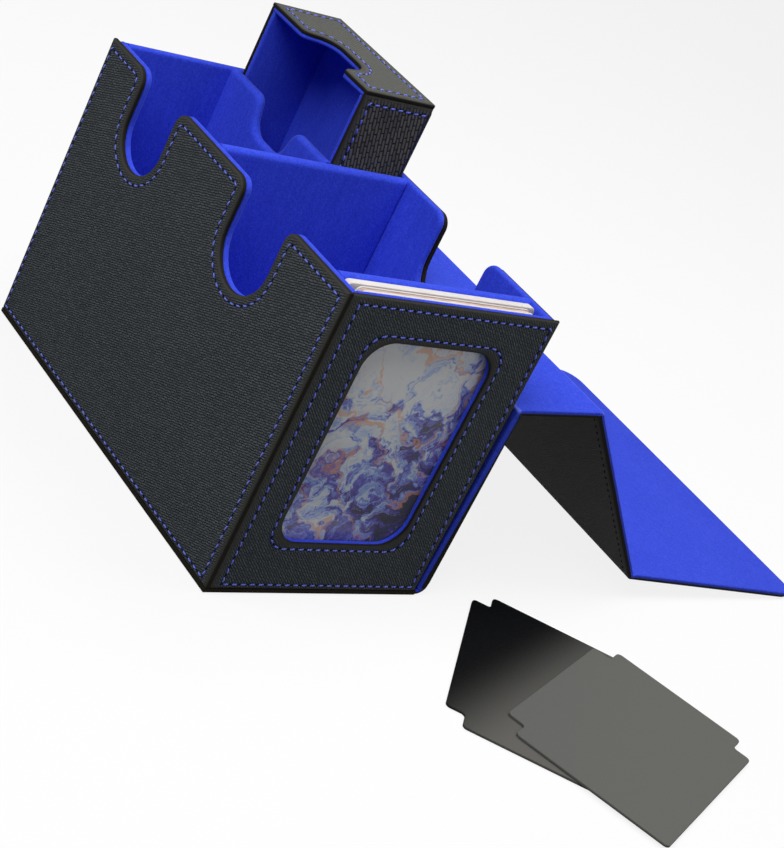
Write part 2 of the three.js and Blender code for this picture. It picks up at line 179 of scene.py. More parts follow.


# Polyester velvet on thin foam: a short dense pile that is deep blue when seen into and pale at
# grazing angles, brushed in faint streaks, and painted paler along the crest of a fold: a painted
# highlight of the fold's crest, with the pile opened there by the bend.
def velvet(tree):
    place = add(tree, "TexCoord").outputs["Object"]
    pile = add(tree, "TexNoise", {"Vector": place, "Scale": 1300.0, "Detail": 3.0,
                                  "Roughness": 0.7}).outputs["Fac"]
    drawn = add(tree, "VectorMath", {0: place, 1: (1.0, 1.0, 0.22)}, operation="MULTIPLY").outputs[0]
    streaks = add(tree, "TexNoise", {"Vector": drawn, "Scale": 420.0, "Detail": 3.0,
                                     "Roughness": 0.6}).outputs["Fac"]
    brushed = add(tree, "TexNoise", {"Vector": place, "Scale": 38.0, "Detail": 3.0,
                                     "Roughness": 0.55}).outputs["Fac"]
    nap = add(tree, "Math", {0: streaks, 1: 0.35, 2: pile}, operation="MULTIPLY_ADD").outputs[0]
    nap = add(tree, "Math", {0: brushed, 1: 0.15, 2: nap}, operation="MULTIPLY_ADD").outputs[0]
    shade = steps(tree, nap, (0.5, colour("3044d2")), (0.75, colour("3a50e2")), (1.0, colour("475df0")))
    # painted highlight: the crease mark lightens the velvet along a fold's crest
    painted_crest_highlight = add(tree, "Attribute", attribute_name="crease").outputs["Fac"]
    crest_highlighted = add(tree, "Mix", {0: painted_crest_highlight, 6: shade, 7: colour("7f8dff")}, data_type="RGBA").outputs[2]
    fuzz = add(tree, "Bump", {"Height": pile, "Strength": 0.45, "Distance": 0.0003}).outputs[0]
    soft = add(tree, "Bump", {"Height": brushed, "Strength": 0.08, "Distance": 0.0012,
                              "Normal": fuzz}).outputs[0]
    return add(tree, "BsdfPrincipled", {
        "Base Color": crest_highlighted, "Roughness": 0.95, "Normal": soft, "Specular IOR Level": 0.08,
        "Sheen Weight": 0.45, "Sheen Roughness": 0.35, "Sheen Tint": colour("a9b4ff"),
    })


# Bonded polyester sewing thread, 0.6 mm thick: mid blue, slightly shiny, with the twist of its plies
def sewing_thread(tree):
    place = add(tree, "TexCoord").outputs["Object"]
    plies = add(tree, "TexWave", {"Vector": place, "Scale": 480.0, "Distortion": 2.0}).outputs["Fac"]
    shade = steps(tree, plies, (0.0, colour("3f4dc6")), (1.0, colour("7482ec")))
    twist = add(tree, "Bump", {"Height": plies, "Strength": 0.4, "Distance": 0.0001}).outputs[0]
    return add(tree, "BsdfPrincipled", {"Base Color": shade, "Roughness": 0.45, "Normal": twist,
                                        "Specular IOR Level": 0.4, "Sheen Weight": 0.2})


# The needle's holes between two stitches: the leather is pressed in, and their dark navy is painted
# shade of the holes. The cover's stitches are drawn in it too, as painted shade of thread in shadow.
def needle_hole(tree):
    place = add(tree, "TexCoord").outputs["Object"]
    lint = add(tree, "TexNoise", {"Vector": place, "Scale": 900.0}).outputs["Fac"]
    shade = steps(tree, lint, (0.3, colour("0c0e1c")), (0.8, colour("181c3c")))
    return add(tree, "BsdfPrincipled", {"Base Color": shade, "Roughness": 0.9, "Specular IOR Level": 0.05})


# Grey chipboard made of pressed waste paper: matt, flecked with fibres
def chipboard(tree):
    place = add(tree, "TexCoord").outputs["Object"]
    fibres = add(tree, "TexNoise", {"Vector": place, "Scale": 700.0, "Detail": 5.0,
                                    "Distortion": 0.8}).outputs["Fac"]
    shade = steps(tree, fibres, (0.3, colour("6f6c65")), (0.7, colour("99958b")))
    bump = add(tree, "Bump", {"Height": fibres, "Strength": 0.3, "Distance": 0.0002}).outputs[0]
    return add(tree, "BsdfPrincipled", {"Base Color": shade, "Roughness": 0.9, "Normal": bump})


# Nickel-plated neodymium magnet: bright, with faint turning marks
def nickel_plate(tree):
    place = add(tree, "TexCoord").outputs["Object"]
    marks = add(tree, "TexNoise", {"Vector": place, "Scale": 900.0, "Detail": 3.0}).outputs["Fac"]
    rough = add(tree, "MapRange", {"Value": marks, "To Min": 0.18, "To Max": 0.36}).outputs[0]
    return add(tree, "BsdfPrincipled", {"Base Color": colour("b9bbbd"), "Metallic": 1.0, "Roughness": rough})


# Clear PVC film, 0.5 mm thick, behind the window: nearly invisible but for its gloss
def window_plastic(tree):
    place = add(tree, "TexCoord").outputs["Object"]
    haze = add(tree, "TexNoise", {"Vector": place, "Scale": 60.0, "Detail": 2.0}).outputs["Fac"]
    rough = add(tree, "MapRange", {"Value": haze, "To Min": 0.05, "To Max": 0.11}).outputs[0]
    return add(tree, "BsdfPrincipled", {
        "Base Color": colour("e8eef4"), "Roughness": rough, "Alpha": 0.07, "Specular IOR Level": 0.4,
    })


# White rigid plastic of the two holders, with the paler paper stack that shows in the slot along
# their rims, where the sheets' edges make fine lines
def white_holder(tree):
    place = add(tree, "TexCoord").outputs["Object"]
    slot = add(tree, "Attribute", attribute_name="seam").outputs["Fac"]
    cloud = add(tree, "TexNoise", {"Vector": place, "Scale": 90.0, "Detail": 3.0}).outputs["Fac"]
    shade = steps(tree, cloud, (0.3, colour("d6d0cc")), (0.75, colour("e4deda")))
    sheets = add(tree, "VectorMath", {0: place, 1: (0.05, 1.0, 0.05)}, operation="MULTIPLY").outputs[0]
    lines = add(tree, "TexNoise", {"Vector": sheets, "Scale": 3600.0, "Detail": 2.0}).outputs["Fac"]
    paper = steps(tree, lines, (0.35, colour("ab8a7e")), (0.65, colour("dccabf")))
    final = add(tree, "Mix", {0: slot, 6: shade, 7: paper}, data_type="RGBA").outputs[2]
    return add(tree, "BsdfPrincipled", {"Base Color": final, "Roughness": 0.4, "Specular IOR Level": 0.3})


# Coated art card with a made-up print: thin veils of pale blue, lilac and white folded over a
# violet ground, paler towards the top, with a few warm threads of light. The print is offset,
# under a gloss lacquer.
def printed_face(tree):
    uv = add(tree, "TexCoord").outputs["UV"]
    warp = add(tree, "TexNoise", {"Vector": uv, "Scale": 0.04, "Detail": 4.0,
                                  "Roughness": 0.55}).outputs["Color"]
    centred = add(tree, "VectorMath", {0: warp, 1: HALF}, operation="SUBTRACT").outputs[0]
    flow = add(tree, "VectorMath", {0: centred, 1: (60.0, 46.0, 0.0), 2: uv},
               operation="MULTIPLY_ADD").outputs[0]
    curl = add(tree, "TexNoise", {"Vector": flow, "Scale": 0.09, "Detail": 5.0,
                                  "Roughness": 0.6}).outputs["Color"]
    turn = add(tree, "VectorMath", {0: curl, 1: HALF}, operation="SUBTRACT").outputs[0]
    drift = add(tree, "VectorMath", {0: turn, 1: (20.0, 20.0, 0.0), 2: flow},
                operation="MULTIPLY_ADD").outputs[0]
    veils = add(tree, "TexNoise", {"Vector": drift, "Scale": 0.11, "Detail": 10.0,
                                   "Roughness": 0.62}).outputs["Fac"]
    height = add(tree, "SeparateXYZ", {"Vector": uv}).outputs["Y"]
    across = add(tree, "SeparateXYZ", {"Vector": uv}).outputs["X"]
    lift = add(tree, "MapRange", {"Value": height, "From Min": 20.0, "From Max": 95.0,
                                  "To Min": -0.03, "To Max": 0.13}).outputs[0]
    drop = add(tree, "MapRange", {"Value": across, "From Min": 0.0, "From Max": 30.0,
                                  "To Min": 0.0, "To Max": -0.1}).outputs[0]
    tone = add(tree, "Math", {0: veils, 1: lift}, operation="ADD").outputs[0]
    tone = add(tree, "Math", {0: tone, 1: drop}, operation="ADD").outputs[0]
    sky = steps(tree, tone, (0.36, colour("160c38")), (0.42, colour("45279a")), (0.465, colour("6f66e0")),
                (0.51, colour("9cbcff")), (0.55, colour("e4eeff")), (0.61, colour("ffffff")))
    streak = add(tree, "TexWave", {"Vector": drift, "Scale": 0.03, "Distortion": 7.0, "Detail": 5.0,
                                   "Detail Scale": 1.5}, bands_direction="DIAGONAL").outputs["Fac"]
    warm = steps(tree, streak, (0.95, grey(0.0)), (1.0, grey(0.7)))
    glow = add(tree, "Mix", {0: warm, 6: sky, 7: colour("ffb070")}, data_type="RGBA").outputs[2]
    rose = add(tree, "TexNoise", {"Vector": drift, "Scale": 0.05, "Detail": 4.0}).outputs["Fac"]
    blush = steps(tree, rose, (0.56, grey(0.0)), (0.72, grey(0.5)))
    flushed = add(tree, "Mix", {0: blush, 6: glow, 7: colour("d070a8")}, data_type="RGBA").outputs[2]
    sparkle = add(tree, "TexNoise", {"Vector": drift, "Scale": 0.4, "Detail": 5.0,
                                     "Roughness": 0.7}).outputs["Fac"]
    dots = steps(tree, sparkle, (0.58, grey(0.0)), (0.72, grey(0.8)))
    final = add(tree, "Mix", {0: dots, 6: flushed, 7: colour("fbf4f4")}, data_type="RGBA").outputs[2]
    return add(tree, "BsdfPrincipled", {"Base Color": final, "Roughness": 0.25})


# Smoked polystyrene sheet, satin moulded: grey with a fine haze, from one tint to the other over a
# stretch of length (from, to, in mm) along the direction towards; on the rear divider the change
# from near black to grey is a painted reflection of the bright surroundings, not a tint of the sheet.
def smoked_sheet(tree, near_tint, far_tint_painted_reflection, towards, length):
    place = add(tree, "TexCoord").outputs["Object"]
    along = add(tree, "VectorMath", {0: place, 1: towards}, operation="DOT_PRODUCT").outputs["Value"]
    # the share of the far tint along the sheet: on the rear divider a painted reflection, near black to grey
    depth = add(tree, "MapRange", {"Value": along, "From Min": length[0] * MM, "From Max": length[1] * MM},
                interpolation_type="SMOOTHERSTEP").outputs[0]
    haze = add(tree, "TexNoise", {"Vector": place, "Scale": 1100.0, "Detail": 2.0}).outputs["Fac"]
    tint_and_painted_reflection = add(tree, "Mix", {0: depth, 6: colour(near_tint), 7: colour(far_tint_painted_reflection)}, data_type="RGBA").outputs[2]
    shade = add(tree, "Mix", {0: 0.004, 6: tint_and_painted_reflection, 7: steps(tree, haze, (0.3, grey(0.0)), (0.7, grey(1.0)))},
                data_type="RGBA").outputs[2]
    bump = add(tree, "Bump", {"Height": haze, "Strength": 0.06, "Distance": 0.0001}).outputs[0]
    return add(tree, "BsdfPrincipled", {"Base Color": shade, "Roughness": 0.55, "Normal": bump,
                                        "Specular IOR Level": 0.02})


leather = new_material("grained_pu_leather", "black_leather", grained_leather)
# The tray's lid: the same leather with a weaker grain, painted lighter as painted light and sheen of its top
# face
lid_leather_painted_light = new_material("lid_pu_leather_painted_light", "black_leather", lambda tree: grained_leather(
    tree, 0.35, ("4c4d4a", "545551"), ("72736c", "7b7a72")))
ribbed_leather = new_material("ribbed_pu_leather", "black_leather", lambda tree: grained_leather(
    tree, 1.0, ("202122", "272725"), ("6a6963", "716e66"), (4.4, 1.4)))
blue_velvet = new_material("blue_velvet", "blue_velvet", velvet)
thread = new_material("sewing_thread", "blue_velvet", sewing_thread)
painted_shade_navy = new_material("painted_shade_navy_holes_stitches", "black_leather", needle_hole)
greyboard = new_material("greyboard", "greyboard", chipboard)
magnet_metal = new_material("nickel_plate", "magnet", nickel_plate)
film = new_material("clear_pvc_film", "clear_film", window_plastic)
holder_white = new_material("white_rigid_plastic", "white_card", white_holder)
card_print = new_material("printed_art_card", "printed_card", printed_face)
# painted reflection: the rear divider runs from near black to a grey that stands for the reflected
# surroundings
smoke_rear_painted_reflection = new_material("smoked_sheet_rear_painted_reflection", "smoked_plastic", lambda tree: smoked_sheet(
    tree, "08090b", "63625e", (0.38, -0.92, 0.0), (122.0, 161.0)))
smoke_front = new_material("smoked_sheet_front", "smoked_plastic", lambda tree: smoked_sheet(
    tree, "646462", "676763", (0.75, -0.66, 0.0), (100.0, 200.0)))


# Outlines

# Points on each round corner, and the radii of a leather corner and of a velvet one, in mm
ARC = 10
CUT_EDGE = 0.35
PAD_CORNER = 0.2


def loop(corners, distance=0.0):
    """A closed outline through corners (u, v, radius), each side moved inwards by distance (one
    number, or one for each side, side i running from corner i on). A corner with a radius is an
    arc about a centre that stays put, so its radius shrinks on outer corners and grows on inner
    ones; every outline of the same corners has the same number of points."""
    base = np.array([(c[0], c[1]) for c in corners], float)
    count = len(base)
    moved = np.broadcast_to(np.asarray(distance, float), (count,))
    ahead = np.roll(base, -1, 0) - base
    lengths = np.hypot(*ahead.T)
    ahead = ahead / lengths[:, None]
    behind = np.roll(ahead, 1, 0)
    points = []
    for i, corner in enumerate(corners):
        before, after = behind[i], ahead[i]
        step_before, step_after = moved[i - 1], moved[i]
        cross = before[0] * after[1] - before[1] * after[0]
        along = (step_after - step_before * before.dot(after)) / cross
        place = base[i] + step_before * np.array((-before[1], before[0])) - along * before
        radius = corner[2] if len(corner) > 2 else 0
        if not radius:
            points.append(place[None])
            continue
        half = math.acos(np.clip(-before.dot(after), -1, 1)) / 2
        reach = min(lengths[i - 1], lengths[i]) / 2
        radius = min(radius / math.tan(half), reach) * math.tan(half)
        radius = max(radius - math.copysign((step_before + step_after) / 2, cross), 0.02)
        bisector = after - before
        centre = place + bisector / np.hypot(*bisector) * radius / math.sin(half)
        normal = np.array((before[1], -before[0])) * math.copysign(1, cross)
        sweep = math.atan2(cross, before.dot(after))
        angle = math.atan2(normal[1], normal[0]) + np.linspace(0, sweep, ARC)
        points.append(centre + radius * np.stack([np.cos(angle), np.sin(angle)], 1))
    return np.concatenate(points)


def rectangle(u0, v0, u1, v1, radius=0.0):
    """Corners from the lower left to the upper right one, all of one radius."""
    return [(u0, v0, radius), (u1, v0, radius), (u1, v1, radius), (u0, v1, radius)]


def notch(at, depth, foot, mouth, foot_radius, lip, top):
    """Four corners of a finger notch cut down from an edge at height top, read towards smaller u: its
    half width is mouth at the edge, with radius lip, and foot at the bottom, with its own radius."""
    return [(at + mouth, top, lip), (at + foot, top - depth, foot_radius),
            (at - foot, top - depth, foot_radius), (at - mouth, top, lip)]


def wall(start, finish, bottom, top, *notches, radius=CUT_EDGE):
    """An upright wall's outline, with notches in its top, the rear one first."""
    corners = [(start, bottom, radius), (finish, bottom, radius), (finish, top, radius)]
    for cut in notches:
        corners += notch(*cut, top)
    return corners + [(start, top, radius)]


# The box's planes, in mm from its middle and from the table: leather faces, the backs of the
# leather shells and the velvet faces of the rooms
SIDE, SIDE_RIM, ROOM_SIDE = 44.0, 42.2, 39.6
END, REAR_RIM, ROOM_REAR = 81.0, 79.2, 76.6
FRONT_RIM, ROOM_FRONT = 79.8, 78.0
BASE_RIM, ROOM_FLOOR, TOP = 1.8, 3.8, 111.5
BASE_LIP = 44.9
POCKET_WALL = (-66.0, -70.2)
CROSS_WALL = (10.4, 6.4)
BAY_DIVIDER = (8.2, 4.2)
WINDOW = (-26.25, 20.3, 26.25, 96.6, 10.0)
INNER_WALL_ROUND = 1.9

# On the right and the rear wall the leather ends this far below the velvet's rim
COVERED_DROP = 0.8
COVERED_TOP = TOP - COVERED_DROP

# Notches: place, depth, half widths at foot and mouth, radii at foot and lip
SIDE_NOTCH = (-30.2, 30.8, 13.9, 13.9, 13.8, 4.8)
REAR_NOTCH = (42.7, 30.5, 12.6, 12.6, 12.5, 5.5)
BAY_NOTCH = (43.7, 12.4, 9, 12.6, 7, 4.5)
TRAY_NOTCH = (40.3, -12.0, 11.0, 13.6, 9.0, 3.0)
COVERED_NOTCH = (-30.2, 30.8 - COVERED_DROP, 13.9, 13.9, 13.8, 4.8)

# How far the sewn line runs from a free edge in mm, on the window side from each side of its own
SEAM = 3.4
LEFT_SEAM = [1.75, 1.8] + [SEAM] * 10
FRONT_SEAM = (1.75, 2.6, 3.2, 3.9)
WINDOW_SEAM = 2.3

# Which way the grain runs in each outline, in degrees: on the walls, on the flat plates, on the
# tray's ends and on the cover
LEFT_GRAIN, RIGHT_GRAIN, FRONT_GRAIN, REAR_GRAIN = 157.0, 38.0, -46.0, 52.0
FLAT_GRAIN, TRAY_GRAIN, COVER_GRAIN = 40.0, 74.5, 52.0

# Which way the outline's u, v and the thickness w run, for walls across X, across Y and flat plates
FRAMES = {
    "x": np.array([(0, 1, 0), (0, 0, 1), (1, 0, 0)], float),
    "y": np.array([(1, 0, 0), (0, 0, 1), (0, 1, 0)], float),
    "z": np.eye(3),
}


# Meshes

def make(name, points, faces, materials, face_material=None, uv=None, marks=None, sharp=35.0):
    """A mesh object at the origin from points in mm. Where the enclosed volume (the sum of the
    tetrahedra from the origin to each fan triangle) is negative, every face is turned over."""
    points = np.asarray(points, float)
    sizes = np.array([len(f) for f in faces])
    corners = np.concatenate([np.asarray(f) for f in faces])
    starts = np.concatenate([[0], np.cumsum(sizes)[:-1]])
    first = np.repeat(corners[starts], sizes)
    following = np.roll(corners, -1)
    inner = np.ones(len(corners), bool)
    inner[starts + sizes - 1] = False
    a, b, c = points[first[inner]], points[corners[inner]], points[following[inner]]
    if np.einsum("ij,ij->i", a, np.cross(b, c)).sum() < 0:
        faces = [f[::-1] for f in faces]
    mesh = bpy.data.meshes.new(name)
    mesh.from_pydata((points * MM).tolist(), [], [list(map(int, f)) for f in faces])
    for material in materials:
        mesh.materials.append(material)
    if face_material is not None:
        mesh.polygons.foreach_set("material_index", np.asarray(face_material, np.int32))
    if uv is not None:
        index = np.zeros(len(mesh.loops), np.int32)
        mesh.loops.foreach_get("vertex_index", index)
        pattern = mesh.uv_layers.new(name="pattern")
        pattern.data.foreach_set("uv", np.asarray(uv, np.float32)[index].ravel())
    for label, values in (marks or {}).items():
        mark = mesh.attributes.new(label, "FLOAT", "POINT")
        mark.data.foreach_set("value", np.asarray(values, np.float32))
    mesh.polygons.foreach_set("use_smooth", np.ones(len(mesh.polygons), bool))
    mesh.set_sharp_from_angle(angle=math.radians(sharp))
    mesh.update()
    made = bpy.data.objects.new(name, mesh)
    scene.collection.objects.link(made)
    return made


def finish_piece(made, body, slot, *nodes):
    """Hides the solids that a piece stands for and hangs it on the body it rides on; the slot is not used.
    """
    if nodes:
        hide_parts(*nodes)
    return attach(made, body)


def band(lower, upper):
    """Quads between two rings of point numbers of the same length."""
    return np.stack([lower, np.roll(lower, -1), np.roll(upper, -1), upper], 1).tolist()


# How far below a plate's last face, in mm, its mark edge still counts
REACH = 0.9


def plate(name, axes, corners, stages, material, body, slot, nodes=(), hole=None, hole_stages=None,
          grain=0.0, origin=(0, 0, 0), cap_material=None):
    """A closed plate: the outline is drawn once for each stage (inset, height, seam), the rings are
    joined in order, and the first and last ring are closed by flat faces. With a hole, the hole's
    own stages run the same way and the two flat faces join the outline to the hole. The mark edge
    is a point's inset where it lies within REACH of the last face, and 0 elsewhere."""
    axes = FRAMES[axes] if isinstance(axes, str) else np.asarray(axes, float)
    flat, faces, edge, seam = [], [], [], []

    def stack(outline, profile, sign):
        """Draws one outline at all its stages; sign is -1 for a hole. Returns its outer two rings."""
        ids = []
        for distance, height, mark in profile:
            ring = loop(outline, np.asarray(distance, float) * sign)
            ids.append(np.arange(len(ring)) + sum(len(f) for f in flat))
            flat.append(np.column_stack([ring, np.full(len(ring), height)]))
            edge.append(np.full(len(ring), float(np.mean(distance))))
            seam.append(np.full(len(ring), mark))
        for lower, upper in zip(ids, ids[1:]):
            faces.extend(band(lower, upper) if sign > 0 else band(upper, lower))
        return ids[0], ids[-1]

    first, last = stack(corners, stages, 1)
    if hole is None:
        faces += [first[::-1].tolist(), last.tolist()]
    else:
        hole_first, hole_last = stack(hole, hole_stages, -1)
        faces += band(hole_first, first) + band(last, hole_last)
    flat = np.concatenate(flat)
    edge = np.concatenate(edge)
    heights = [s[1] for s in stages]
    edge = np.where(np.abs(flat[:, 2] - heights[-1]) < REACH, edge, 0.0)
    c, s = math.cos(math.radians(grain)), math.sin(math.radians(grain))
    uv = flat[:, :2] @ np.array([(c, -s), (s, c)])
    materials, face_material = [material], None
    if cap_material is not None:
        materials.append(cap_material)
        face_material = np.zeros(len(faces), int)
        face_material[-1] = 1
    made = make(name, flat @ axes + np.asarray(origin, float), faces, materials, face_material, uv,
                {"edge": edge, "seam": np.concatenate(seam)})
    return finish_piece(made, body, slot, *nodes)


def round_over(radius, face, outwards, count=5, keep=1.0):
    """Stages of a quarter round from the side up to a face: at angle a the inset is r(1 - cos a),
    times keep for each side, and the height is r(1 - sin a) short of the face."""
    keep = np.asarray(keep)
    return [(keep * radius * (1 - math.cos(a)), face - outwards * radius * (1 - math.sin(a)), 0.0)
            for a in np.linspace(0, math.pi / 2, count)]


# How deep the thread has drawn the leather in, in mm
SEW_DEPTH = 0.14


def groove(inset, face, outwards, depth=SEW_DEPTH, half=0.9):
    """Stages of a shallow sewn channel in a face, a cosine dip over twice half, then a flat strip."""
    inset = np.asarray(inset, float)
    offsets = np.linspace(-1, 1, 7)
    dip = depth * (1 + np.cos(np.pi * offsets)) / 2
    stages = [(inset + half * o, face - outwards * d, float(d / depth) ** 2) for o, d in zip(offsets, dip)]
    return stages + [(inset + half + 1.0, face, 0.0)]


def pan_stages(outer, rim, hem=1.5, face=0.5, rounding=0.6, seam=SEAM):
    """A leather shell from the floor of its board recess (hem mm in and face mm thick), over the
    rim, round the turned edge and across the face to the sewn channel."""
    out = math.copysign(1, outer - rim)
    inside = [(hem, outer - out * face, 0.0), (hem, rim, 0.0)]
    back = round_over(0.3, rim, -out, 3)[::-1]
    front = round_over(rounding, outer, out, 6)
    channel = groove(seam, outer, out) if seam is not None else [(rounding + 1.0, outer, 0.0)]
    return inside + back + front + channel


def soft_stages(back, face, radius, keep=1.0):
    """A padded lining from its glued back, round its rim, to its face."""
    out = math.copysign(1, face - back)
    under = round_over(radius, back, -out, 5, keep)[::-1]
    return [(under[0][0] + 0.8, back, 0.0)] + under + round_over(radius, face, out, 7, keep) + [
        (np.asarray(keep) * radius + 1.2, face, 0.0)]


# Stitching

def oval_bead(length, across, tall, sink, lift, rings=7, sides=6):
    """A closed bead lying along u, its half width across * (1 - t^4)^(1/2), its ends sunk by t squared."""
    t = np.linspace(-0.99, 0.99, rings)
    around = np.linspace(0, 2 * math.pi, sides, endpoint=False)
    width = np.sqrt(1 - t ** 4)[:, None]
    points = np.stack([
        np.repeat(t * length / 2, sides),
        (width * np.cos(around) * across).ravel(),
        (width * np.sin(around) * tall + lift - sink * t[:, None] ** 2).ravel(),
    ], 1)
    count = (rings - 1) * sides
    faces = []
    for start in range(0, count, sides):
        faces += band(np.arange(sides) + start, np.arange(sides) + start + sides)
    return points, faces + [list(range(sides - 1, -1, -1)), list(range(count, count + sides))]


# A stitch's step along the seam in mm, its turn from the seam in degrees, and the two beads:
# length, half width, half height, sink of the ends and lift in mm, and a hole's number of rings
STITCH_PITCH = 3.5
STITCH_SLANT = 7.0
STITCH_BEAD = (2.35, 0.34, 0.28, 0.32, 0.14)
HOLE_BEAD = (1.0, 0.3, 0.06, 0.0, 0.02, 5)


def row_of(name, axes, at, angle, shape, shape_faces, face, out, origin, material, slot, body):
    """Copies of one closed shape at places in a face, each turned by its own angle."""
    c, s = np.cos(angle)[:, None], np.sin(angle)[:, None]
    u = at[:, :1] + c * shape[:, 0] - s * shape[:, 1]
    v = at[:, 1:] + s * shape[:, 0] + c * shape[:, 1]
    level = face(at[:, :1]) if callable(face) else face
    w = np.broadcast_to(level + out * (shape[:, 2] - SEW_DEPTH), u.shape)
    points = np.stack([u, v, w], -1).reshape(-1, 3) @ axes + np.asarray(origin, float)
    faces = []
    for k in range(len(at)):
        faces += [[i + k * len(shape) for i in f] for f in shape_faces]
    return finish_piece(make(name, points, faces, [material], sharp=80), body, slot)


def stitches(name, axes, path, face, out, body, closed=True, origin=(0, 0, 0), tone=None):
    """Stitches at even steps along a path in a face, each turned with the path as it runs from 0.4 mm
    before it to 0.4 mm after it, and a needle hole between each two of them."""
    axes = FRAMES[axes] if isinstance(axes, str) else np.asarray(axes, float)
    path = np.asarray(path, float)
    if closed:
        path = np.concatenate([path, path[:1]])
    run = np.concatenate([[0], np.cumsum(np.hypot(*np.diff(path, axis=0).T))])
    number = max(1, round(run[-1] / STITCH_PITCH))

    def along(places):
        """Points of the path at distances along it."""
        return np.stack([np.interp(places, run, path[:, k]) for k in (0, 1)], 1)

    def heading(places):
        """The path's direction there, as an angle."""
        ahead = along(np.minimum(places + 0.4, run[-1])) - along(np.maximum(places - 0.4, 0))
        return np.arctan2(ahead[:, 1], ahead[:, 0])

    middles = (np.arange(number) + 0.5) * run[-1] / number
    holes = np.arange(number) * run[-1] / number
    stitch, stitch_faces = oval_bead(*STITCH_BEAD)
    hole, hole_faces = oval_bead(*HOLE_BEAD)
    # a tone, where given, takes the thread's place: on the cover it is the dark navy hole material, painted
    # shade
    row_of(name, axes, along(middles), heading(middles) + math.radians(STITCH_SLANT), stitch, stitch_faces,
           face, out, origin, tone or thread, "blue_velvet" if tone is None else "black_leather", body)
    row_of(f"{name}_holes", axes, along(holes), heading(holes), hole, hole_faces, face, out, origin, painted_shade_navy,
           "black_leather", body)


# The box

def lined_wall(name, axis, faces, panel, lining, seam, grain, keep, hole=None, hole_seam=None,
               edge_round=0.6):
    """A wall: leather shell with its sewn line, and the velvet lining behind it. Its faces are the
    leather's, the leather's back and the velvet's; keep says how much of the rim's rounding each side
    of the lining has, 1 where it is free and 0 where it is joined."""
    outer, rim, inner = faces
    out = math.copysign(1, outer - rim)
    hole_pan = hole_lining = None
    if hole:
        hole_pan = pan_stages(outer, rim, rounding=0.45, seam=hole_seam)
        hole_lining = soft_stages(rim, inner, 0.7)
    plate(f"{name}_leather", axis, panel, pan_stages(outer, rim, rounding=edge_round, seam=seam),
          leather, "box", "black_leather", [f"{name}_panel"], hole, hole_pan, grain)
    # the velvet's rim is rounded by 1.2 mm, or nearly half its thickness where that is less
    radius = min(1.2, abs(inner - rim) * 0.49)
    plate(f"{name}_velvet", axis, lining, soft_stages(rim, inner, radius, keep), blue_velvet, "box",
          "blue_velvet", [f"{name}_lining"], hole, hole_lining)
    stitches(f"{name}_stitching", axis, loop(panel, seam), outer, out, "box")
    if hole:
        stitches("window_stitching", axis, loop(hole, -hole_seam), outer, out, "box")


def box_pieces():
    """The four walls and the base, each leather outside and velvet inside, and the three inner walls."""
    two_notches = [0, 0] + [1] * 9 + [0]
    one_notch = [0, 0] + [1] * 5 + [0]
    top_only = [0, 0, 1, 0]
    lined_wall("left", "x", (-SIDE, -SIDE_RIM, -ROOM_SIDE),
               wall(-END, END, BASE_RIM, TOP, REAR_NOTCH, SIDE_NOTCH),
               wall(-FRONT_RIM, REAR_RIM, BASE_RIM, TOP, REAR_NOTCH, SIDE_NOTCH),
               LEFT_SEAM, LEFT_GRAIN, two_notches, edge_round=0.9)
    lined_wall("right", "x", (SIDE, SIDE_RIM, ROOM_SIDE),
               wall(-FRONT_RIM, END, BASE_RIM, COVERED_TOP, COVERED_NOTCH),
               wall(-FRONT_RIM, REAR_RIM, BASE_RIM, TOP, SIDE_NOTCH), SEAM, RIGHT_GRAIN, one_notch)
    lining = rectangle(-ROOM_SIDE, BASE_RIM, ROOM_SIDE, TOP, CUT_EDGE)
    lined_wall("front", "y", (-END, -FRONT_RIM, -ROOM_FRONT),
               rectangle(-SIDE_RIM, BASE_RIM, SIDE, TOP, CUT_EDGE), lining, FRONT_SEAM, FRONT_GRAIN,
               top_only, rectangle(*WINDOW), WINDOW_SEAM, edge_round=0.8)
    lined_wall("rear", "y", (END, REAR_RIM, ROOM_REAR),
               rectangle(-SIDE_RIM, BASE_RIM, SIDE_RIM, COVERED_TOP, CUT_EDGE), lining, SEAM, REAR_GRAIN,
               top_only)
    plate("base_leather", "z", rectangle(-SIDE, -END, BASE_LIP, END, CUT_EDGE),
          pan_stages(0, BASE_RIM, seam=None), leather, "box", "black_leather", ["base_panel"],
          grain=FLAT_GRAIN)
    plate("base_velvet", "z", rectangle(-ROOM_SIDE, -ROOM_FRONT, ROOM_SIDE, ROOM_REAR, PAD_CORNER),
          soft_stages(BASE_RIM, ROOM_FLOOR, 0.3, 0), blue_velvet, "box", "blue_velvet", ["base_lining"])
    across = rectangle(-ROOM_SIDE, ROOM_FLOOR, ROOM_SIDE, TOP, PAD_CORNER)
    along = wall(CROSS_WALL[0], ROOM_REAR, ROOM_FLOOR, TOP, BAY_NOTCH, radius=PAD_CORNER)
    joined_sides = [0, 0.45, 1, 0.45]
    for name, axis, outline, faces, keep in (("pocket_wall", "y", across, POCKET_WALL, joined_sides),
                                             ("cross_wall", "y", across, CROSS_WALL, joined_sides),
                                             ("bay_divider", "x", along, BAY_DIVIDER, one_notch)):
        plate(f"{name}_velvet", axis, outline, soft_stages(*faces, INNER_WALL_ROUND, keep), blue_velvet,
              "box", "blue_velvet", [name])


# The tray

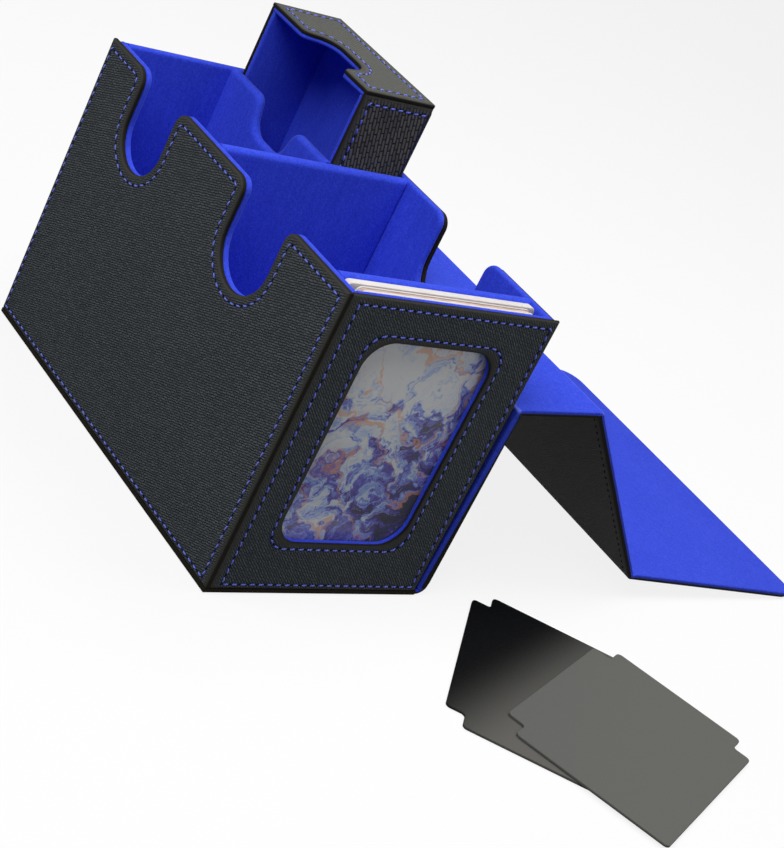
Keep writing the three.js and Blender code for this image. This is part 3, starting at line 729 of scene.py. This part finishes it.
def tray_pieces():
    """The raised tray, open on its left: five leather plates with five velvet linings inside them,
    sewn round the notched lid and, on both ends, along the bottom, the open side and the top."""
    left, right, front, back, bottom, top = 8.6, 39.2, 10.8, 76.2, 32.7, 139.0
    skin, pad, corner = 1.4, 1.6, 0.3
    top_seam, line_end = 3.2, 1.2
    end_seam = (SEAM, 0.9, top_seam, SEAM)

    def notched(start, finish, far):
        """The lid's outline or its lining's: a rectangle with the thumb notch in its left side."""
        cut = [(x, y, radius) for y, x, radius in notch(*TRAY_NOTCH, left)]
        return [(left, start, corner), (far, start, corner), (far, finish, corner),
                (left, finish, corner)] + cut

    def leather_plate(name, axis, corners, outer, inner, grain, seam=None, skin_material=leather):
        """A leather plate, rounded towards its outer face, with a sewn channel if it has a seam."""
        out = math.copysign(1, outer - inner)
        rounding = 0.55
        stages = [(1.2, inner, 0.0)] + round_over(0.2, inner, -out, 3)[::-1]
        stages += round_over(rounding, outer, out, 6)
        stages += groove(seam, outer, out) if seam is not None else [(rounding + 1.0, outer, 0.0)]
        plate(f"{name}_leather", axis, corners, stages, skin_material, "tray", "black_leather",
              [name], grain=grain)

    def velvet_plate(name, axis, corners, back_face, face, keep):
        """A lining, with its rim rounded by 0.75 mm on the sides that keep names."""
        plate(f"{name}_velvet", axis, corners, soft_stages(back_face, face, 0.75, keep), blue_velvet,
              "tray", "blue_velvet", [f"{name}_lining"])

    lid = notched(front, back, right)
    leather_plate("tray_top", "z", lid, top, top - skin, FLAT_GRAIN, SEAM, lid_leather_painted_light)
    leather_plate("tray_bottom", "z", rectangle(left, front, right, back, corner), bottom, bottom + skin,
                  FLAT_GRAIN)
    upright = rectangle(left, bottom + skin, right, top - skin, corner)
    leather_plate("tray_front", "y", upright, front, front + skin, -TRAY_GRAIN, end_seam, ribbed_leather)
    leather_plate("tray_rear", "y", upright, back, back - skin, TRAY_GRAIN, end_seam, ribbed_leather)
    leather_plate("tray_back", "x", rectangle(front + skin, bottom + skin, back - skin, top - skin, corner),
                  right, right - skin, RIGHT_GRAIN)
    stitches("tray_top_stitching", "z", loop(lid, SEAM), top, 1, "tray")
    low, high = bottom + skin, top - skin
    sewn = np.array([(right - line_end, low + SEAM), (left + SEAM, low + SEAM),
                     (left + SEAM, high - top_seam), (right - line_end, high - top_seam)])
    stitches("tray_front_stitching", "y", sewn, front, -1, "tray", closed=False)
    stitches("tray_rear_stitching", "y", sewn, back, 1, "tray", closed=False)
    inside = left, front + skin, right - skin, back - skin
    joined = [0, 0, 0, 1]
    velvet_plate("tray_top", "z", notched(inside[1], inside[3], inside[2]), high, high - pad,
                 [0, 0, 0] + [1] * 5)
    velvet_plate("tray_bottom", "z", rectangle(*inside, PAD_CORNER), low, low + pad, joined)
    side = rectangle(left, low + pad, inside[2], high - pad, PAD_CORNER)
    velvet_plate("tray_front", "y", side, inside[1], inside[1] + pad, joined)
    velvet_plate("tray_rear", "y", side, inside[3], inside[3] - pad, joined)
    velvet_plate("tray_back", "x",
                 rectangle(inside[1] + pad, low + pad, inside[3] - pad, high - pad, PAD_CORNER),
                 inside[2], inside[2] - pad, 0)


# The display insert

def insert_pieces():
    """The display card in its holder, two white lips with paler sheets between them and the print
    sunk a little within the front one, and the backer behind it."""
    bottom, card_side, card_top, backer_side, backer_top = 4.1, 36.5, 110.9, 39.2, 111.2
    back_face, front_face, lip, recess, step = -74.0, -77.2, 0.75, 0.35, 0.05
    border, sunk = 1.6, 0.08
    stages = [(1.2, back_face, 0.0)] + round_over(0.2, back_face, 1, 4)[::-1]
    stages += [(0.0, back_face - lip, 0.0), (recess, back_face - lip - step, 1.0),
               (recess, front_face + lip + step, 1.0), (0.0, front_face + lip, 0.0)]
    stages += round_over(0.2, front_face, -1, 4)
    stages += [(border, front_face, 0.0), (border + 0.1, front_face + sunk, 0.0)]
    plate("display_card_sheet", "y", rectangle(-card_side, bottom, card_side, card_top, 2.5), stages,
          holder_white, "display_insert", "printed_card", ["display_card"], cap_material=card_print)
    back_face, front_face = -70.6, -73.4
    stages = [(1.5, back_face, 0.0)] + round_over(0.4, back_face, 1, 4)[::-1]
    stages += round_over(0.4, front_face, -1, 4) + [(1.5, front_face, 0.0)]
    plate("card_backer_sheet", "y", rectangle(-backer_side, bottom, backer_side, backer_top, 2.0), stages,
          holder_white, "display_insert", "white_card", ["card_backer"])


# The cover

# The four hinge lines as (x, z), the direction and the length of the board that follows each, half
# the cover's width, and the free strip on both sides of a hinge line
AXES = np.array([(46.4, 1.2), (48.61615, 75.86988), (86.05492, 77.96303), (148.63018, 9.43438)])
ANGLES = np.radians([88.3, 3.2, -47.6, -4.5302])
LENGTHS = (74.70276, 37.49724, 92.8, 104.3)
COVER_SIDE = 80.6
FOLD_STRIP = 1.6
FLAP_CORNER = 9.0


def board_frame(k):
    """Directions u along the board, v along Y and w to its velvet side, as rows."""
    c, s = math.cos(ANGLES[k]), math.sin(ANGLES[k])
    return np.array([(c, 0, s), (0, 1, 0), (-s, 0, c)]), np.array((AXES[k][0], 0, AXES[k][1]))


# Heights over a board's hinge plane: leather, velvet, the board's two faces, and the two plies'
# meeting line on the lower board and on the others. Then how far the velvet is tucked in and how
# wide its hem and the leather's are, the padding's height over places along the lower board, and
# the round heel of the wrap beside the base: its centre (x, z) and radius, and its start in x.
WRAP = 1.2
SKIN_FACE, PAD_FACE = -WRAP, WRAP
BOARD_FACES = (-0.6, 0.62)
SKIN_ROUND, PAD_ROUND = 0.7, 0.5
LOW_RIM, RIM, PLY_GAP = -0.66, -0.1, 0.04
TUCK, PAD_HEM, SKIN_HEM = 0.25, 1.45, 1.5
PAD_RUN = [(0.0, 2.2), (10.0, 2.2), (30.0, 2.0), (57.0, 1.5), (66.0, 0.75), (73.1, 0.1), (80.0, 0.0)]
HEEL = (45.2, 4.5, 4.5)
HEEL_START = 44.8


def puffed(u):
    """How far the lower board's leather stands out over its padding, in mm, at u along the board: read
    from a table of places, and near the table never outside the round heel of the wrap."""
    u = np.asarray(u, float)
    table_height = AXES[0][1] + u
    reach = np.sqrt(np.maximum(HEEL[2] ** 2 - np.minimum(table_height - HEEL[1], 0.0) ** 2, 0.0))
    heel = HEEL[0] + reach - AXES[0][0] - u * math.cos(ANGLES[0]) + SKIN_FACE
    return np.minimum(np.interp(u, *zip(*PAD_RUN)), heel)


def swept(name, front_path, back_path, rounding, material, marks=None, side=COVER_SIDE):
    """A closed strip along Y between two paths of (x, z) points, its front path drawn in towards the
    back path over the last of each end in a quarter round."""
    front_path, back_path = np.asarray(front_path, float), np.asarray(back_path, float)
    turn = np.linspace(0, math.pi / 2, 5)
    ends = side - rounding * (1 - np.sin(turn))
    middle = np.linspace(-ends[0], ends[0], 41)[1:-1]
    stations = np.concatenate([-ends[::-1], middle, ends])
    drawn = rounding * (1 - np.cos(turn))
    drawn = np.concatenate([drawn[::-1], np.zeros(len(middle)), drawn])
    gap = front_path - back_path
    thick = np.maximum(np.hypot(*gap.T), 0.01)[:, None]
    count, rows = 2 * len(front_path), len(stations)
    points = np.zeros((rows, count, 3))
    for row, (y, pull) in enumerate(zip(stations, drawn)):
        inward = front_path - gap / thick * np.minimum(pull, thick * 0.9)
        ring = np.concatenate([inward, back_path[::-1]])
        points[row, :, 0], points[row, :, 1], points[row, :, 2] = ring[:, 0], y, ring[:, 1]
    numbers = np.arange(rows * count).reshape(rows, count)
    faces = [f for row in range(rows - 1) for f in band(numbers[row], numbers[row + 1])]
    half = len(front_path)
    for ring, flip in ((numbers[0], True), (numbers[-1], False)):
        for i in range(half - 1):
            quad = [int(ring[i]), int(ring[i + 1]), int(ring[count - 2 - i]), int(ring[count - 1 - i])]
            faces.append(quad[::-1] if flip else quad)
    section = np.concatenate([front_path, back_path[::-1]])
    run = np.concatenate([[0], np.cumsum(np.hypot(*np.diff(section, axis=0).T))])
    uv = np.stack([np.tile(run, rows), np.repeat(stations, count)], 1)
    edge = np.repeat(side - np.abs(stations), count)
    marks = {"edge": edge, "seam": np.zeros(rows * count), **(marks(rows, count) if marks else {})}
    return make(name, points.reshape(-1, 3), faces, [material], uv=uv, marks=marks, sharp=50)


def on_board(k, u, w):
    """Points (x, z) of a board from its own u along it and w to its velvet side."""
    a = np.array((math.cos(ANGLES[k]), math.sin(ANGLES[k])))
    n = np.array((-a[1], a[0]))
    return AXES[k] + np.asarray(u, float)[:, None] * a + np.broadcast_to(w, np.shape(u))[:, None] * n


def cover_pieces():
    """Each board of the cover: leather shell outside, velvet inside, sewn along its free sides, which
    free marks with 1; the sides at the folds are 0."""
    for k, name in enumerate(("cover_lower", "cover_upper", "cover_top", "cover_flap")):
        axes, origin = board_frame(k)
        last = k == 3
        start, finish = FOLD_STRIP, LENGTHS[k] - (0 if last else FOLD_STRIP)
        radius = FLAP_CORNER if last else 0.0
        rim = LOW_RIM if k == 0 else RIM
        corners = [(start, -COVER_SIDE), (finish, -COVER_SIDE, radius), (finish, COVER_SIDE, radius),
                   (start, COVER_SIDE)]
        free = np.array([1, 1 if last else 0, 1, 0], float)
        if k == 0:
            u = np.linspace(start, finish, 30)
            shell = swept(f"{name}_leather", on_board(0, u, SKIN_FACE - puffed(u)), on_board(0, u, rim),
                          SKIN_ROUND, leather)
            finish_piece(shell, name, "black_leather", f"{name}_panel")
        else:
            stages = [(SKIN_HEM, BOARD_FACES[0], 0.0), (SKIN_HEM, rim, 0.0), (0.0, rim, 0.0)]
            stages += round_over(SKIN_ROUND, SKIN_FACE, -1, 6, free) + [(free * 1.8, SKIN_FACE, 0.0)]
            plate(f"{name}_leather", axes, corners, stages, leather, name, "black_leather",
                  [f"{name}_panel"], grain=COVER_GRAIN, origin=origin)
        # the velvet is turned over the board's side and down to the leather's rim
        foot, tuck, hem = rim + PLY_GAP, free * TUCK, free * PAD_HEM
        stages = [(hem, BOARD_FACES[1], 0.0), (hem, foot, 0.0), (tuck, foot, 0.0)]
        stages += [(inset + tuck, height, 0.0)
                   for inset, height, _ in round_over(PAD_ROUND, PAD_FACE, 1, 5, free)]
        stages += [(free * 1.6, PAD_FACE, 0.0)]
        plate(f"{name}_velvet", axes, corners, stages, blue_velvet, name, "blue_velvet",
              [f"{name}_lining"], origin=origin)
        # painted shade: the cover's stitches take the dark needle-hole material in place of the thread, for
        # thread that lies in shadow
        sewn = COVER_SIDE - SEAM
        if last:
            ring = loop(corners, (SEAM, SEAM, SEAM, 1.0))
            path = np.concatenate([[(start + 1, -sewn)], ring[1:-1], [(start + 1, sewn)]])
            stitches(f"{name}_stitching", axes, path, SKIN_FACE, -1, name, False, origin, painted_shade_navy)
        else:
            level = (lambda at: SKIN_FACE - puffed(at)) if k == 0 else SKIN_FACE
            for y, label in ((-sewn, "front"), (sewn, "rear")):
                path = [(start + 0.6, y), (finish - 0.6, y)]
                stitches(f"{name}_stitching_{label}", axes, path, level, -1, name, False, origin, painted_shade_navy)


def fold_section(first, second, hinge, side):
    """One side of a fold, in (x, z): straight out of the first board, round the hinge line at the
    wrap's half thickness if this side is outside the bend, or in a soft crease if it is inside,
    and straight into the second board. The crease is a quadratic curve from one board's face to the
    other's: (1 - t) squared, 2 t (1 - t) and t squared times its begin, control and end points."""
    a = np.array((math.cos(first), math.sin(first)))
    b = np.array((math.cos(second), math.sin(second)))
    na, nb = np.array((-a[1], a[0])) * side, np.array((-b[1], b[0])) * side
    bend = second - first
    begin, end = -FOLD_STRIP * a + WRAP * na, FOLD_STRIP * b + WRAP * nb
    if bend * side <= 0:
        angles = math.atan2(na[1], na[0]) + np.linspace(0, bend, 13)
        middle = WRAP * np.stack([np.cos(angles), np.sin(angles)], 1)
        lead = np.linspace(begin, middle[0], 4)[:-1]
        tail = np.linspace(middle[-1], end, 4)[1:]
        path = np.concatenate([lead, middle, tail])
    else:
        t = np.linspace(0, 1, 19)[:, None]
        control = 0.15 * (na + nb)
        path = (1 - t) ** 2 * begin + 2 * t * (1 - t) * control + t ** 2 * end
    return path + np.asarray(hinge)


def heel_path():
    """The leather under the box's right edge: off the base, round the heel and up into the lower board."""
    x, z, radius = HEEL
    board_start = np.array([FOLD_STRIP])
    finish = on_board(0, board_start, SKIN_FACE - puffed(board_start))[0]
    angles = np.linspace(-math.pi / 2, math.atan2(finish[1] - z, finish[0] - x), 18)
    arc = np.stack([x + radius * np.cos(angles), z + radius * np.sin(angles)], 1)
    arc[-1] = finish
    return np.concatenate([[(HEEL_START, 0.0)], arc])


def folds():
    """The wrap between two boards: leather outside and velvet inside, one closed strip each along Y
    that turns with its hinge. Where the velvet is on the outside of the bend it is painted paler by up
    to 0.8, a painted highlight along the fold's crest with the pile opened there: the mark crease is a
    half sine wave to the power of 0.7 over the bend."""
    nodes = ("base_fold", "cover_lower_fold", "cover_upper_fold", "cover_top_fold")
    directions = np.concatenate([[0.0], ANGLES])
    for k, node in enumerate(nodes):
        before, after = directions[k], directions[k + 1]
        outer = heel_path() if k == 0 else fold_section(before, after, AXES[k], -1)
        inner = fold_section(before, after, AXES[k], 1)
        # how far out the two plies meet, from the velvet's face to the leather's
        meeting = np.linspace(0.45, 0.55, len(inner))[:, None] if k == 0 else 1 - 0.46
        border = inner + (outer - inner) * meeting

        def painted_crest_highlight(rows, count, bent=after < before, length=len(outer)):
            """The mark crease, the same on every row along Y."""
            line = np.zeros(count)
            if bent:
                line[3:length - 3] = 0.8 * np.sin(np.linspace(0, math.pi, length - 6)) ** 0.7
            return {"crease": np.tile(line, rows)}

        parts = ((f"{node}_wrap", outer, SKIN_ROUND, leather, "black_leather", None),
                 (f"{node}_pile", inner, PAD_ROUND, blue_velvet, "blue_velvet", painted_crest_highlight))
        for name, face, rounding, material, slot, marks in parts:
            made = swept(name, face, border, rounding, material, marks)
            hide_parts(node)
            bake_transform(made)


# The dividers

def divider_piece(name, turned, out, height, material):
    """A loose divider lying flat: a plate with three notched corners, turned by an angle in degrees,
    the corner beside its far left notch placed out from the box's front right corner, in mm."""
    w, h, notch_w, notch_h, outer, inner, thick = 65.9, 88.5, 7.0, 7.6, 1.8, 1.5, 1.0
    u, v, far_u, far_v = notch_w, notch_h, w - notch_w, h - notch_h
    corners = [(u, 0, outer), (w, 0, outer), (w, far_v, outer), (far_u, far_v, inner), (far_u, h, outer),
               (u, h, outer), (u, far_v, inner), (0, far_v, outer), (0, v, outer), (u, v, inner)]
    c, s = math.cos(math.radians(turned)), math.sin(math.radians(turned))
    axes = np.array([(c, s, 0), (-s, c, 0), (0, 0, 1)])
    origin = np.array((SIDE + out[0], -END - out[1], height)) - np.array((notch_w, h, 0)) @ axes
    stages = [(0.8, 0.0, 0.0)] + round_over(0.22, 0.0, -1, 4)[::-1]
    stages += round_over(0.22, thick, 1, 4) + [(1.0, thick, 0.0)]
    plate(f"{name}_sheet", axes, corners, stages, material, name, "smoked_plastic", [name], origin=origin)


box_pieces()
tray_pieces()
insert_pieces()
cover_pieces()
folds()
divider_piece("rear_divider", -43.8, (36.4, 1.9), 0.0, smoke_rear_painted_reflection)
divider_piece("front_divider", -64.7, (73.4, 33.5), 1.0, smoke_front)


def kept_finish(node_name):
    """The finish of a solid by its name: boards, magnets and film keep their own solids."""
    if node_name.endswith("_board"):
        return greyboard
    if "magnet" in node_name:
        return magnet_metal
    if node_name == "window_film":
        return film
    return leather if "panel" in node_name or "fold" in node_name else blue_velvet


for node_name, node_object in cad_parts.items():
    for slot in node_object.material_slots:
        slot.material = kept_finish(node_name)


# Floor and light

def seen_rays(tree):
    """1 for rays from the camera and for those that gloss or clear film sends on, 0 for others."""
    path = add(tree, "LightPath").outputs
    direct = add(tree, "Math", {0: path["Is Camera Ray"], 1: path["Is Glossy Ray"]},
                 operation="MAXIMUM").outputs[0]
    return add(tree, "Math", {0: direct, 1: path["Is Transmission Ray"]},
               operation="MAXIMUM").outputs[0]


# Matt paper backdrop: seen it is nearly white and keeps the object's shadow, and the light that it
# sends back to the object is that of a dark grey one
def floor_surface(tree):
    place = add(tree, "TexCoord").outputs["Object"]
    cloud = add(tree, "TexNoise", {"Vector": place, "Scale": 3.0}).outputs["Fac"]
    shade = steps(tree, cloud, (0.3, colour("f4f4f4")), (0.7, colour("f8f8f8")))
    white = add(tree, "Emission", {"Color": (1, 1, 1, 1), "Strength": 1.0})
    seen = seen_rays(tree)
    quiet = add(tree, "Mix", {0: seen, 6: grey(0.1), 7: shade}, data_type="RGBA").outputs[2]
    matt = add(tree, "BsdfPrincipled", {"Base Color": quiet, "Roughness": 0.9, "Specular IOR Level": 0.1})
    share = add(tree, "Math", {0: seen, 1: 0.85}, operation="MULTIPLY").outputs[0]
    return add(tree, "MixShader", {0: share, 1: matt.outputs[0], 2: white.outputs[0]})


FLOOR_HALF, FLOOR_DROP = 4.0, 0.0002
floor_mesh = bpy.data.meshes.new("floor")
floor_corners = ((-1, -1), (1, -1), (1, 1), (-1, 1))
floor_mesh.from_pydata([(x * FLOOR_HALF, y * FLOOR_HALF, -FLOOR_DROP) for x, y in floor_corners], [],
                       [(0, 1, 2, 3)])
floor_mesh.materials.append(new_material("pale_floor", "floor", floor_surface))
floor = bpy.data.objects.new("floor", floor_mesh)
scene.collection.objects.link(floor)

world = bpy.data.worlds.new("studio")
world.use_nodes = True
scene.world = world
tree = world.node_tree
tree.nodes.clear()
sky = add(tree, "Background", {"Color": colour("f2f4f8"), "Strength": 0.12})
white_wall = add(tree, "Background", {"Color": (1, 1, 1, 1), "Strength": 1.0})
both = add(tree, "MixShader", {0: seen_rays(tree), 1: sky.outputs[0], 2: white_wall.outputs[0]})
add(tree, "OutputWorld", {"Surface": both.outputs[0]})


def soft_lamp(name, place, target, size, power):
    """A round lamp at a place that faces its target, in metres, with its width and its watts."""
    data = bpy.data.lights.new(name, "AREA")
    data.shape = "DISK"
    data.size = size
    data.energy = power
    lamp = bpy.data.objects.new(name, data)
    direction = np.array(place, float) - np.array(target, float)
    z = direction / np.linalg.norm(direction)
    x = np.cross((0.0, 0.0, 1.0), z)
    x = x / np.linalg.norm(x)
    place_matrix = np.eye(4)
    place_matrix[:3, 0], place_matrix[:3, 1], place_matrix[:3, 2] = x, np.cross(z, x), z
    place_matrix[:3, 3] = place
    lamp.matrix_world = Matrix(place_matrix.tolist())
    scene.collection.objects.link(lamp)


soft_lamp("key_softbox", (-0.46, -0.13, 0.82), (0.0, 0.0, 0.05), 0.65, 5.6)
soft_lamp("overhead_softbox", (0.35, 0.0, 0.8), (0.05, 0.0, 0.05), 0.6, 3.5)
soft_lamp("front_softbox", (0.05, -0.8, 0.45), (0.0, -0.08, 0.06), 0.6, 0.65)
